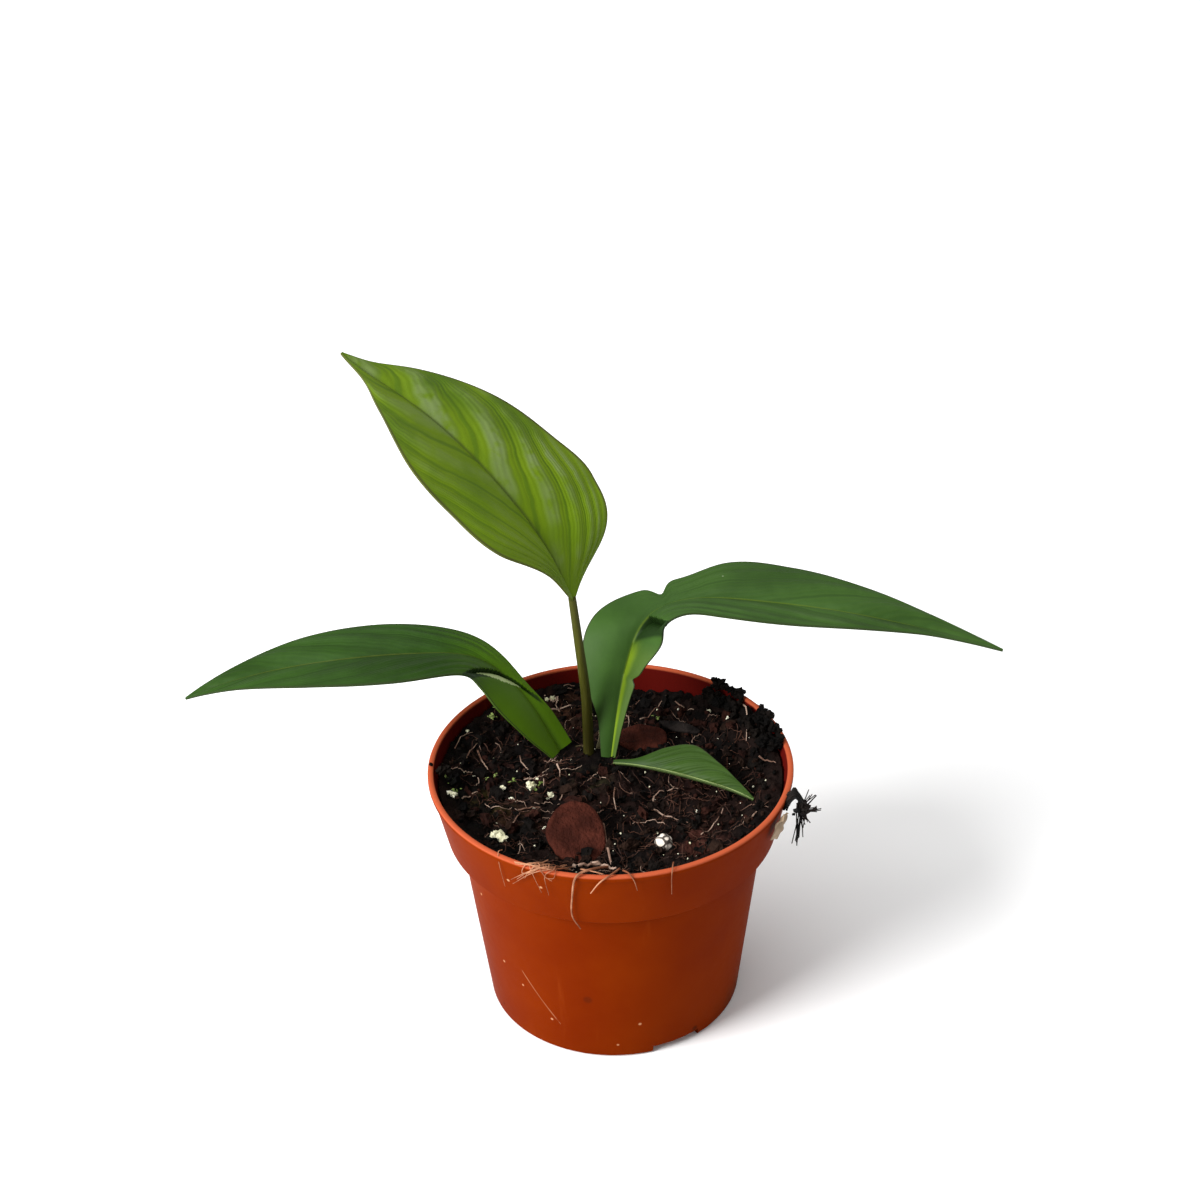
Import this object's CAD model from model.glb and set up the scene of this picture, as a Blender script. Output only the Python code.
"""A young homalomena in a round nursery pot, on a pale floor.

Lengths are in millimetres until they reach a mesh, where MM turns them to metres. The origin is
the middle of the pot's foot, +Z runs up the pot and +X towards the long right leaf.
"""
import math
import random

import bpy
from mathutils import Matrix, Vector, noise


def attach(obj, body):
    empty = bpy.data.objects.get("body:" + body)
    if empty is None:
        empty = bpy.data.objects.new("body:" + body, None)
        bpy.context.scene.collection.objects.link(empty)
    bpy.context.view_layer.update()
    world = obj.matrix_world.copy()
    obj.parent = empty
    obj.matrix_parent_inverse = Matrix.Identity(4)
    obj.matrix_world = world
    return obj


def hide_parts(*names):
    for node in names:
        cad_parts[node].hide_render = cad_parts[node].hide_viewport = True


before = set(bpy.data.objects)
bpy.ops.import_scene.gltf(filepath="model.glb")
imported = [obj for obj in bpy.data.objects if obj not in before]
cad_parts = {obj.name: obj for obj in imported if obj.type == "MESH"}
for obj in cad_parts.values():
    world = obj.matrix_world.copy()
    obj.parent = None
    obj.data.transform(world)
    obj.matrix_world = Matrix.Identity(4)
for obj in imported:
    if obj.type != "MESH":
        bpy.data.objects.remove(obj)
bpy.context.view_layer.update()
MM = 0.001

# ---------------------------------------------------------------- driving dimensions

POT_HEIGHT = 67
RIM_RADIUS = 45
COLLAR_DEPTH = 16.5
COLLAR_FOOT_RADIUS = 41.2
STEP_HEIGHT = 2.8
WALL_TOP_RADIUS = 37.7
FOOT_RADIUS = 32
WALL = 1.1
FLOOR_THICK = 1.3
PAD_RADIUS = 16
FOOT_RING_WIDTH = 2.4
FOOT_LIFT = 2
NOTCH_WIDTH = 13
NOTCH_BEARINGS = (-62, 58, 178)
DRAIN_RADIUS = 3
DRAIN_CIRCLE = 23
DRAIN_COUNT = 6
POT_SIDES = 144

SOIL_LEVEL = 60.4
SOIL_EDGE = 42.3
SOIL_GRID = 180
CROWN_AT = (-5, 11)

BLADE_ACROSS = 44
BLADE_ALONG = 300
BLADE_THICK = 0.5
VEINS = 3.5
VEIN_SWEEP = 0.64

# Rows of a blade: share of its length, bearing, climb, left and right half-widths, cup. Its fold
# is where it bends over: a lip, by its share at the rib and its slant across, stands over a
# pocket of a given length (with its spread across) and depth. The span is where the fold begins
# and ends across the blade, the overhang is how far the lip hangs back, and pale gives the two
# ends across and the size of the sliver of underside below the lip. Nicks are cuts in a margin:
# the side, the share, the half-length and how much of the width they take. Below calm the veins
# fade out.
LEAF_TALL = {
    "base": (-8.2, 12, 107.3), "length": 83, "roll": -3, "calm": 0, "rows": (
        (0, 160, 70, 1, 1.5, 10),
        (0.1, 150, 61, 6.5, 16, 17),
        (0.25, 149, 49, 20, 25, 10),
        (0.42, 148, 40, 22, 24.5, 5),
        (0.6, 150, 34, 21, 21, 5),
        (0.8, 156, 28, 11.5, 12, 6),
        (0.92, 158, 29, 3, 4, 8),
        (1, 154, 36, 0.3, 0.3, 10),
    ),
}
LEAF_LEFT = {
    "base": (-12.6, 13.3, 61.7), "length": 107, "roll": 0,
    "calm": 0.3,
    "fold": {"lip": 0.232, "slant": -0.11, "length": 0.05, "spread": 0, "depth": 1.5,
             "span": (-1.4, -1.2, 0.5, 0.95), "overhang": 0.2, "pale": (-0.66, 0.36, 0.034)},
    "rows": (
        (0, 145, 54, 5, 4, 15),
        (0.08, 146, 54, 9, 4, 9),
        (0.18, 151, 41, 12, 3, 7),
        (0.25, 160, 32, 12, 4.5, 8),
        (0.34, 184, 13, 12.5, 8.5, 8),
        (0.5, 184, 0, 14.5, 12.5, 4),
        (0.7, 183, -7, 12, 11, 5),
        (0.88, 184, -16, 5, 5, 5),
        (1, 185, -25, 0.3, 0.3, 5),
    ),
}
LEAF_RIGHT = {
    "base": (0.3, 9.6, 61.7), "length": 128, "roll": 0,
    "calm": 0.36,
    "fold": {"lip": 0.292, "slant": 0.03, "length": 0.075, "spread": -0.015, "depth": 3,
             "span": (0, 0.12, 2, 3), "overhang": 0.5, "pale": None},
    "nicks": ((-1, 0.333, 0.013, 0.5), (1, 0.162, 0.008, 0.3)),
    "rows": (
        (0, 70, 66, 2.5, 1.2, 15),
        (0.07, 68, 65, 4.5, 2.2, 15),
        (0.18, 61, 58, 11.5, 5.2, 15),
        (0.25, 50, 50, 12, 9.8, 14),
        (0.31, 18, 27, 8, 10.3, 11),
        (0.37, 4, 7, 8, 9.5, 9),
        (0.45, -6, -1, 13.7, 11.6, 8),
        (0.58, -7, -5, 14.3, 12, 7),
        (0.72, -8, -9, 11, 8, 6),
        (0.86, -9, -13, 5.5, 3, 6),
        (1, -7, -18, 0.3, 0.3, 5),
    ),
}
LEAF_SMALL = {
    "base": (0.8, 6.9, 61.9), "length": 38, "roll": -24, "calm": 0.3, "rows": (
        (0, -24, 14, 0.8, 0.4, 10),
        (0.15, -27, 9, 1.6, 0.4, 10),
        (0.35, -27, 4, 6, 0.6, 11),
        (0.5, -26, -1, 8, 0.6, 11),
        (0.7, -24, -4, 5.5, 0.6, 10),
        (0.88, -26, -10, 2.2, 0.5, 10),
        (1, -30, -15, 0.3, 0.3, 10),
    ),
}

# Marks on the pot's wall: bearing, height, half-size, strength and colour.
PALE_MARK = (0.5, 0.24, 0.12)
DARK_MARK = (0.05, 0.008, 0.002)
POT_MARKS = (
    (-142.6, 22.4, 0.5, 0.8, PALE_MARK),
    (-132.2, 18.2, 0.45, 0.7, PALE_MARK),
    (-151.4, 3.8, 0.6, 0.8, DARK_MARK),
    (-118.8, 10.2, 0.5, 0.8, PALE_MARK),
    (-80.0, 11.2, 0.55, 0.8, PALE_MARK),
    (-89.6, 4.2, 0.45, 0.7, PALE_MARK),
    (-101.6, 20.2, 1.6, 0.45, DARK_MARK),
    (-52.6, 3.0, 1.1, 0.8, DARK_MARK),
)
# Both ends of a fine scratch on the wall, each a bearing and a height.
POT_SCRATCH = ((-131.5, 23.8), (-114.6, 9.2))
# Patches of another colour in the mix: place in plan, half-size, strength and colour.
SOIL_PATCHES = (
    (-31, -7, 9, 0.8, (0.035, 0.026, 0.006)),
    (-22, -14, 8, 0.6, (0.045, 0.02, 0.008)),
    (20, -24, 9, 0.7, (0.05, 0.015, 0.01)),
    (-6, 0, 8, 0.5, (0.02, 0.02, 0.006)),
    (-12, 33, 9, 0.6, (0.05, 0.02, 0.01)),
)

CAMERA_DISTANCE = 560
CAMERA_ELEVATION = 31.96
CAMERA_ROLL = -1.37
CAMERA_AIM = (-1.59, 0, 114.32)
CAMERA_LENS = 71.33


# ---------------------------------------------------------------- modelling helpers

def pick_nothing():
    """Leave object mode clean, with nothing selected."""
    if bpy.context.object and bpy.context.object.mode != "OBJECT":
        bpy.ops.object.mode_set(mode="OBJECT")
    bpy.ops.object.select_all(action="DESELECT")


def added(name):
    """The primitive that was just added, under its own name."""
    piece = bpy.context.object
    piece.name = name
    piece.data.name = name
    return piece


def settle_place(piece):
    """Move the object's own place into its mesh."""
    pick_nothing()
    piece.select_set(True)
    bpy.context.view_layer.objects.active = piece
    bpy.ops.object.transform_apply(location=True, rotation=True, scale=True)


def with_modifier(piece, kind, **settings):
    """Add one modifier and apply it straight away."""
    bpy.context.view_layer.objects.active = piece
    modifier = piece.modifiers.new(kind.title(), kind)
    for key, value in settings.items():
        setattr(modifier, key, value)
    bpy.ops.object.modifier_apply(modifier=modifier.name)


def smooth(piece, angle=35):
    pick_nothing()
    piece.select_set(True)
    bpy.context.view_layer.objects.active = piece
    bpy.ops.object.shade_smooth_by_angle(angle=math.radians(angle))


def finish_piece(piece, paint, slot, *cad_nodes):
    """Give a piece its finish, its body and the CAD nodes it stands for."""
    piece.data.materials.clear()
    piece.data.materials.append(paint)
    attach(piece, "root")
    if cad_nodes:
        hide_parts(*cad_nodes)


def mesh_piece(name, points, faces):
    """A piece from points in millimetres and faces."""
    mesh = bpy.data.meshes.new(name)
    mesh.from_pydata([Vector(p) * MM for p in points], [], faces)
    mesh.update()
    piece = bpy.data.objects.new(name, mesh)
    bpy.context.scene.collection.objects.link(piece)
    return piece


def read_rows(rows, column, share):
    """A value along uneven rows, on a smooth cubic through all of them."""
    last = len(rows) - 1

    def run(i):
        return rows[i + 1][0] - rows[i][0]

    def rise(i):
        return (rows[i + 1][column] - rows[i][column]) / run(i)

    def slope(i):
        if i == 0:
            return rise(0)
        if i == last:
            return rise(last - 1)
        return (run(i - 1) * rise(i) + run(i) * rise(i - 1)) / (run(i - 1) + run(i))

    k = 0
    while k < last - 1 and share > rows[k + 1][0]:
        k += 1
    h = run(k)
    f = (share - rows[k][0]) / h
    return ((1 + 2 * f) * (1 - f) ** 2 * rows[k][column]
            + f * (1 - f) ** 2 * h * slope(k)
            + f * f * (3 - 2 * f) * rows[k + 1][column]
            + f * f * (f - 1) * h * slope(k + 1))


def smooth_path(points, per_span=5):
    """Points along a rounded path through the given ones."""
    points = [Vector(p) for p in points]
    ends = [points[0] * 2 - points[1]] + points + [points[-1] * 2 - points[-2]]
    path = []
    for k in range(1, len(ends) - 2):
        a, b, c, d = ends[k - 1:k + 3]
        for step in range(per_span):
            f = step / per_span
            path.append(0.5 * (2 * b + (c - a) * f + (2 * a - 5 * b + 4 * c - d) * f * f
                               + (3 * b - a - 3 * c + d) * f ** 3))
    path.append(points[-1])
    return path


def rod_parts(path, foot_radius, head_radius, sides):
    """Points and faces of a closed, tapering rod along a path."""
    points, faces = [], []
    normal = None
    last = len(path) - 1
    for i, centre in enumerate(path):
        ahead = (path[min(i + 1, last)] - path[max(i - 1, 0)]).normalized()
        if normal is None:
            guide = Vector((0, 0, 1)) if abs(ahead.z) < 0.8 else Vector((1, 0, 0))
            normal = guide.cross(ahead).normalized()
        normal = (normal - ahead * normal.dot(ahead)).normalized()
        side = ahead.cross(normal)
        radius = foot_radius + (head_radius - foot_radius) * i / last
        for k in range(sides):
            turn = 2 * math.pi * k / sides
            outward = normal * radius * math.cos(turn) + side * radius * math.sin(turn)
            points.append(centre + outward)
    for i in range(last):
        for k in range(sides):
            low, next_low = i * sides + k, i * sides + (k + 1) % sides
            faces.append((low, next_low, next_low + sides, low + sides))
    faces.append(tuple(reversed(range(sides))))
    faces.append(tuple(last * sides + k for k in range(sides)))
    return points, faces


def merged_piece(name, parts):
    """One piece out of many small closed shapes."""
    points, faces = [], []
    for part_points, part_faces in parts:
        start = len(points)
        points.extend(part_points)
        faces.extend(tuple(start + index for index in face) for face in part_faces)
    return mesh_piece(name, points, faces)


def lump_template(name, level):
    """Points and faces of a unit ball of triangles, taken from a primitive."""
    pick_nothing()
    bpy.ops.mesh.primitive_ico_sphere_add(subdivisions=level, radius=1)
    ball = added(name)
    points = [vertex.co.copy() for vertex in ball.data.vertices]
    faces = [tuple(face.vertices) for face in ball.data.polygons]
    bpy.data.objects.remove(ball)
    return points, faces


def lump_parts(template, centre, half, dice, rough=0.3):
    """One rough lump: the template stretched, knocked about and turned."""
    points, faces = template
    turn = Matrix.Rotation(dice.uniform(0, 6.3), 3, (dice.uniform(-1, 1), dice.uniform(-1, 1), 1))
    shift = Vector((dice.uniform(0, 90), dice.uniform(0, 90), dice.uniform(0, 90)))
    placed = []
    for point in points:
        swell = 1 + rough * noise.noise(point * 1.7 + shift) * 2
        shaped = Vector((point.x * half[0], point.y * half[1], point.z * half[2])) * swell
        placed.append(turn @ shaped + Vector(centre))
    return placed, faces


# ---------------------------------------------------------------- paint helpers

class Wire:
    """A shader socket that ordinary arithmetic works on."""

    def __init__(self, paint, socket):
        self.paint = paint
        self.socket = socket

    def maths(self, operation, first, second=None):
        inputs = {0: first} if second is None else {0: first, 1: second}
        return self.paint.node("ShaderNodeMath", {"operation": operation}, inputs)

    def __add__(self, other):
        return self.maths("ADD", self, other)

    def __sub__(self, other):
        return self.maths("SUBTRACT", self, other)

    def __mul__(self, other):
        return self.maths("MULTIPLY", self, other)

    def __truediv__(self, other):
        return self.maths("DIVIDE", self, other)

    def __pow__(self, other):
        return self.maths("POWER", self, other)

    def __rsub__(self, other):
        return self.maths("SUBTRACT", other, self)

    __radd__ = __add__
    __rmul__ = __mul__

    def size(self):
        return self.maths("ABSOLUTE", self)

    def sine(self):
        return self.maths("SINE", self)

    def between(self, low, high):
        """0 below low, 1 above high, smooth in between."""
        settings = {"interpolation_type": "SMOOTHSTEP"}
        return self.paint.node("ShaderNodeMapRange", settings, {0: self, 1: low, 2: high})


class Paint:
    """A node material under construction."""

    def __init__(self, name, **constants):
        self.material = bpy.data.materials.new(name)
        self.material.use_nodes = True
        self.tree = self.material.node_tree
        self.shader = self.tree.nodes["Principled BSDF"]
        for socket, value in constants.items():
            self.shader.inputs[socket.replace("_", " ")].default_value = value

    def node(self, kind, settings=None, inputs=None, output=0):
        made = self.tree.nodes.new(kind)
        for key, value in (settings or {}).items():
            if key == "stops":
                self.set_stops(made.color_ramp, value)
            else:
                setattr(made, key, value)
        for key, value in (inputs or {}).items():
            if isinstance(value, Wire):
                self.tree.links.new(value.socket, made.inputs[key])
            else:
                made.inputs[key].default_value = value
        return Wire(self, made.outputs[output])

    @staticmethod
    def set_stops(ramp, stops):
        while len(ramp.elements) < len(stops):
            ramp.elements.new(0.5)
        for element, (place, value) in zip(ramp.elements, stops):
            element.position = place
            element.color = (value, value, value, 1)

    def place(self):
        return self.node("ShaderNodeTexCoord", output="Object")

    def noise(self, scale, detail=3, rough=0.55, where=None, output=0):
        inputs = {"Scale": scale, "Detail": detail, "Roughness": rough}
        inputs["Vector"] = where or self.place()
        return self.node("ShaderNodeTexNoise", None, inputs, output)

    def cells(self, scale, feature="F1", where=None, output=0):
        inputs = {"Scale": scale, "Vector": where or self.place()}
        return self.node("ShaderNodeTexVoronoi", {"feature": feature}, inputs, output)

    def stretched(self, x, y, z):
        """Object coordinates scaled differently along each axis."""
        return self.node("ShaderNodeMapping", None, {"Vector": self.place(), "Scale": (x, y, z)})

    def gap(self, spot):
        """How far every point lies from a spot."""
        settings = {"operation": "DISTANCE"}
        return self.node("ShaderNodeVectorMath", settings, {0: self.place(), 1: spot}, 1)

    def blend(self, share, first, second):
        """A colour between two colours."""
        inputs = {0: share, 6: self.tint(first), 7: self.tint(second)}
        return self.node("ShaderNodeMix", {"data_type": "RGBA"}, inputs, 2)

    @staticmethod
    def tint(colour):
        return colour if isinstance(colour, Wire) else (*colour, 1)

    def feed(self, socket, wire):
        self.tree.links.new(wire.socket, self.shader.inputs[socket])

    def bump(self, height, distance, strength=1.0):
        inputs = {"Height": height, "Distance": distance, "Strength": strength}
        self.feed("Normal", self.node("ShaderNodeBump", None, inputs))


# ---------------------------------------------------------------- materials

def pot_plastic():
    paint = Paint("terracotta_plastic", Specular_IOR_Level=0.008)
    where = paint.place()
    height = paint.node("ShaderNodeSeparateXYZ", None, {0: where}, 2)
    clouds = paint.noise(28, 4)
    fine = paint.noise(420, 3)
    colour = paint.blend(clouds.between(0.3, 0.7), (0.13, 0.0118, 0.0), (0.158, 0.0175, 0.0))
    plan = paint.node("ShaderNodeVectorMath", {"operation": "MULTIPLY"}, {0: where, 1: (1, 1, 0)})
    away = paint.node("ShaderNodeVectorMath", {"operation": "LENGTH"}, {0: plan}, 1)
    skin = away - height * 0.215
    inside = (1 - skin.between(0.0292, 0.0299)) * height.between(0.051, 0.052)
    colour = paint.blend(inside, colour, (0.075, 0.004, 0.003))
    lip = height.between(0.0663, 0.0668)
    colour = paint.blend(lip * 0.85, colour, (0.42, 0.085, 0.035))
    streaks = paint.noise(1, 4, where=paint.stretched(260, 260, 18))
    colour = paint.blend(streaks.between(0.62, 0.8) * 0.2, colour, (0.28, 0.05, 0.006))
    specks = paint.cells(190)
    dots = (1 - specks.between(0.05, 0.1)) * paint.noise(60).between(0.6, 0.64)
    colour = paint.blend(dots * 0.8, colour, (0.5, 0.26, 0.13))
    grime = paint.noise(45, 5).between(0.56, 0.75) * (1 - height.between(0.0, 0.012)) * 0.6
    colour = paint.blend(grime, colour, (0.1, 0.025, 0.006))
    for bearing, level, half, strength, mark in POT_MARKS:
        spot = tuple(value * MM for value in wall_point(bearing, level, 0))
        share = (1 - paint.gap(spot).between(half * 0.4 * MM, half * MM)) * strength
        colour = paint.blend(share, colour, mark)
    ends = [Vector(wall_point(*end, 0)) * MM for end in POT_SCRATCH]
    excess = paint.gap(tuple(ends[0])) + paint.gap(tuple(ends[1])) - (ends[0] - ends[1]).length
    scratch = (1 - excess.between(0.000006, 0.000022)) * fine.between(0.3, 0.5) * 0.3
    colour = paint.blend(scratch, colour, PALE_MARK)
    paint.feed("Base Color", colour)
    paint.feed("Roughness", 0.36 + 0.16 * clouds + 0.1 * fine)
    paint.bump(fine * 0.4 + streaks * 0.3, 0.00012)
    return paint.material


def peat():
    paint = Paint("potting_mix", Specular_IOR_Level=0.06)
    coarse = paint.noise(140, 5, 0.65)
    fine = paint.noise(900, 4, 0.7)
    patches = paint.noise(38, 3)
    wet, dry = (0.0009, 0.0006, 0.0005), (0.009, 0.0045, 0.0034)
    colour = paint.blend(coarse.between(0.35, 0.7), wet, dry)
    colour = paint.blend(patches.between(0.5, 0.68) * 0.45, colour, (0.02, 0.0065, 0.0042))
    flecks = fine.between(0.64, 0.72) * paint.noise(70).between(0.45, 0.6)
    colour = paint.blend(flecks * 0.5, colour, (0.06, 0.026, 0.014))
    for x, y, half, strength, tint in SOIL_PATCHES:
        spot = (x * MM, y * MM, (SOIL_LEVEL + 1) * MM)
        near = 1 - (paint.gap(spot) / (half * MM)).between(0.3, 1)
        share = near * coarse.between(0.4, 0.6) * strength
        colour = paint.blend(share, colour, tint)
    paint.feed("Base Color", colour)
    paint.feed("Roughness", 0.62 + 0.35 * fine)
    paint.bump(coarse + fine * 0.5, 0.0012)
    return paint.material


def crumb_paint(name, dark, light):
    paint = Paint(name, Specular_IOR_Level=0.06)
    patches = paint.noise(180, 4, 0.6)
    fine = paint.noise(1200, 3)
    paint.feed("Base Color", paint.blend(patches.between(0.35, 0.68), dark, light))
    paint.feed("Roughness", 0.6 + 0.35 * fine)
    paint.bump(fine + patches, 0.0006)
    return paint.material


def leaf_paint(name, deep, fresh, sheen, rib, young, edge, banding, yellowing, strap, calm,
               fade=0.8):
    """Leaf skin: arching veins read from the blade's own map, with paler bands between them.

    strap is the share of the length below which the half beside the stalk is yellow-green, below
    calm the veins fade out, and the yellow of the blade's foot ends at fade.
    """
    paint = Paint(name, Specular_IOR_Level=0.1, Coat_Roughness=0.34)
    chart = paint.node("ShaderNodeUVMap", {"uv_map": "UVMap"})
    across = paint.node("ShaderNodeSeparateXYZ", None, {0: chart}, 0) * 2 - 1
    along = paint.node("ShaderNodeSeparateXYZ", None, {0: chart}, 1)
    reach = across.size()
    wander = (paint.noise(45, 3) - 0.5) * 0.16
    sweep = VEIN_SWEEP * reach ** 0.9
    rank = (along - sweep + wander) / (1 - sweep)
    wave = (rank * 2 * math.pi * VEINS + across * 0.8).sine()
    fine_wave = (rank * 2 * math.pi * VEINS * 6).sine()
    veined = along.between(calm * 0.7 - 0.01, calm + 0.1) * (1 - reach.between(0.75, 1.0) * 0.7)
    patches = paint.noise(40, 4)
    mottle = paint.noise(170, 4)
    band = wave.between(-0.3, 0.9) * patches.between(0.36, 0.62) * banding * veined
    band = band * (0.35 + 0.65 * across.between(-0.3, 0.2))
    band = band * paint.noise(260, 3).between(0.25, 0.55)
    colour = paint.blend(patches.between(0.3, 0.7), deep, fresh)
    colour = paint.blend(band, colour, sheen)
    colour = paint.blend(mottle.between(0.5, 0.75) * 0.2, colour, deep)
    yellow = (1 - along.between(0.1, fade)) * yellowing * (1 - band * 0.6)
    colour = paint.blend(yellow, colour, young)
    groove = (1 - (wave + 1).between(0.0, 0.12)) * 0.65 * veined
    colour = paint.blend(groove, colour, deep)
    colour = paint.blend((fine_wave * 0.5 + 0.5) * 0.025 * veined, colour, young)
    if strap:
        # The yellow-green runs along the rib on its right side only.
        low = (1 - along.between(strap * 0.8, strap)) * across.between(-0.06, 0.04)
        colour = paint.blend(low * (1 - across.between(0.16, 0.5) * 0.8), colour, young)
    middle = 1 - reach.between(0.008, 0.035)
    colour = paint.blend(middle * 0.6, colour, rib)
    colour = paint.blend(reach.between(0.95, 0.99) * 0.7, colour, edge)
    specks = 1 - paint.cells(260).between(0.05, 0.09)
    specks = specks * paint.noise(90).between(0.61, 0.65)
    colour = paint.blend(specks * 0.6, colour, (0.45, 0.5, 0.35))
    shade = paint.node("ShaderNodeAttribute", {"attribute_name": "fold_shade"}, output=2)
    colour = paint.blend(shade.between(0.01, 0.16) * 0.85, colour, (0.006, 0.018, 0.003))
    pale = paint.node("ShaderNodeAttribute", {"attribute_name": "fold_pale"}, output=2)
    colour = paint.blend(pale.between(0.3, 0.7), colour, (0.42, 0.5, 0.24))
    paint.feed("Base Color", colour)
    paint.feed("Roughness", 0.42 + 0.18 * patches + 0.1 * band)
    paint.feed("Coat Weight", 0.02 + 0.05 * band)
    paint.bump(wave * 0.4 * veined + fine_wave * 0.1 * veined + mottle * 0.5, 0.00025)
    return paint.material


def stem_paint():
    paint = Paint("stem_skin", Specular_IOR_Level=0.2)
    height = paint.node("ShaderNodeSeparateXYZ", None, {0: paint.place()}, 2)
    streaks = paint.noise(1, 4, where=paint.stretched(900, 900, 60))
    climb = height.between(0.06, 0.1)
    colour = paint.blend(climb, (0.016, 0.014, 0.001), (0.042, 0.044, 0.001))
    colour = paint.blend(streaks.between(0.45, 0.7) * 0.4, colour, (0.085, 0.08, 0.01))
    paint.feed("Base Color", colour)
    paint.feed("Roughness", 0.4 + 0.2 * streaks)
    paint.bump(streaks, 0.0002)
    return paint.material


def fibre_paint(name, dark, light):
    paint = Paint(name, Specular_IOR_Level=0.12)
    patches = paint.noise(110, 3)
    paint.feed("Base Color", paint.blend(patches.between(0.38, 0.62), dark, light))
    paint.feed("Roughness", 0.5 + 0.3 * patches)
    paint.bump(paint.noise(1500, 2), 0.0001)
    return paint.material


def pellet_paint():
    paint = Paint("cracked_clay", Specular_IOR_Level=0.3)
    cracks = 1 - paint.cells(420, "DISTANCE_TO_EDGE").between(0.02, 0.14)
    patches = paint.noise(500, 3)
    colour = paint.blend(patches, (0.5, 0.42, 0.34), (0.78, 0.72, 0.64))
    colour = paint.blend(cracks * 0.95, colour, (0.02, 0.012, 0.008))
    paint.feed("Base Color", colour)
    paint.feed("Roughness", 0.7 + 0.2 * patches)
    paint.bump(patches - cracks, 0.0004)
    return paint.material


def floor_paint():
    paint = Paint("pale_floor", Roughness=0.9, Specular_IOR_Level=0.1)
    grain = paint.noise(6, 2)
    paint.feed("Base Color", paint.blend(grain, (0.93, 0.93, 0.93), (0.95, 0.95, 0.95)))
    return paint.material


# ---------------------------------------------------------------- pot

def pot_rings():
    """The pot's outline from its foot pad out, up to the rim and down inside to its floor."""
    shoulder = POT_HEIGHT - COLLAR_DEPTH
    lip = POT_HEIGHT - 1.8
    ring_inside = FOOT_RADIUS - FOOT_RING_WIDTH
    return [
        (PAD_RADIUS, 0),
        (PAD_RADIUS + 1, FOOT_LIFT),
        (ring_inside - 0.6, FOOT_LIFT),
        (ring_inside, 0),
        (FOOT_RADIUS - 0.4, 0),
        (FOOT_RADIUS, 0.4),
        (WALL_TOP_RADIUS, shoulder - STEP_HEIGHT),
        (WALL_TOP_RADIUS + 0.4, shoulder - STEP_HEIGHT + 0.5),
        (COLLAR_FOOT_RADIUS - 0.5, shoulder - 0.5),
        (COLLAR_FOOT_RADIUS, shoulder),
        (RIM_RADIUS - 0.6, lip),
        (RIM_RADIUS - 0.1, lip + 0.3),
        (RIM_RADIUS, lip + 0.7),
        (RIM_RADIUS, POT_HEIGHT - 0.5),
        (RIM_RADIUS - 0.15, POT_HEIGHT - 0.15),
        (RIM_RADIUS - 0.5, POT_HEIGHT),
        (RIM_RADIUS - 1, POT_HEIGHT),
        (RIM_RADIUS - 1.35, POT_HEIGHT - 0.15),
        (RIM_RADIUS - 1.5, POT_HEIGHT - 0.5),
        (RIM_RADIUS - 0.6 - WALL, lip),
        (COLLAR_FOOT_RADIUS - WALL, shoulder + 0.3),
        (WALL_TOP_RADIUS - WALL, shoulder - STEP_HEIGHT + 0.3),
        (FOOT_RADIUS - WALL + 0.2, FOOT_LIFT + FLOOR_THICK),
        (PAD_RADIUS + 0.2, FOOT_LIFT + FLOOR_THICK),
        (PAD_RADIUS - 0.8, FLOOR_THICK),
    ]


def pot_cutters():
    """Blocks for the foot notches and rods for the drain holes, joined."""
    cutters = []
    for bearing in NOTCH_BEARINGS:
        turn = math.radians(bearing)
        place = (FOOT_RADIUS * math.cos(turn) * MM, FOOT_RADIUS * math.sin(turn) * MM, 0)
        pick_nothing()
        bpy.ops.mesh.primitive_cube_add(size=1, location=place, rotation=(0, 0, turn))
        notch = added("notch_cutter")
        notch.scale = (10 * MM, NOTCH_WIDTH * MM, 2 * FOOT_LIFT * MM)
        cutters.append(notch)
    for k in range(DRAIN_COUNT):
        turn = 2 * math.pi * k / DRAIN_COUNT
        place = (DRAIN_CIRCLE * math.cos(turn) * MM, DRAIN_CIRCLE * math.sin(turn) * MM,
                 (FOOT_LIFT + FLOOR_THICK / 2) * MM)
        pick_nothing()
        bpy.ops.mesh.primitive_cylinder_add(
            vertices=24, radius=DRAIN_RADIUS * MM, depth=4 * MM, location=place)
        cutters.append(added("drain_cutter"))
    pick_nothing()
    for cutter in cutters:
        cutter.select_set(True)
    bpy.context.view_layer.objects.active = cutters[0]
    bpy.ops.object.join()
    return bpy.context.object


def wall_point(bearing, height, off):
    """A point on or off the outside of the pot's wall and collar."""
    shoulder = POT_HEIGHT - COLLAR_DEPTH
    if height > shoulder:
        climb = min((height - shoulder) / (COLLAR_DEPTH - 1.8), 1)
        radius = COLLAR_FOOT_RADIUS + (RIM_RADIUS - 0.6 - COLLAR_FOOT_RADIUS) * climb
        radius = RIM_RADIUS if height > POT_HEIGHT - 1.8 else radius
    else:
        climb = min(height / (shoulder - STEP_HEIGHT), 1)
        radius = FOOT_RADIUS + (WALL_TOP_RADIUS - FOOT_RADIUS) * climb
    turn = math.radians(bearing)
    return (radius + off) * math.cos(turn), (radius + off) * math.sin(turn), height


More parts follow.
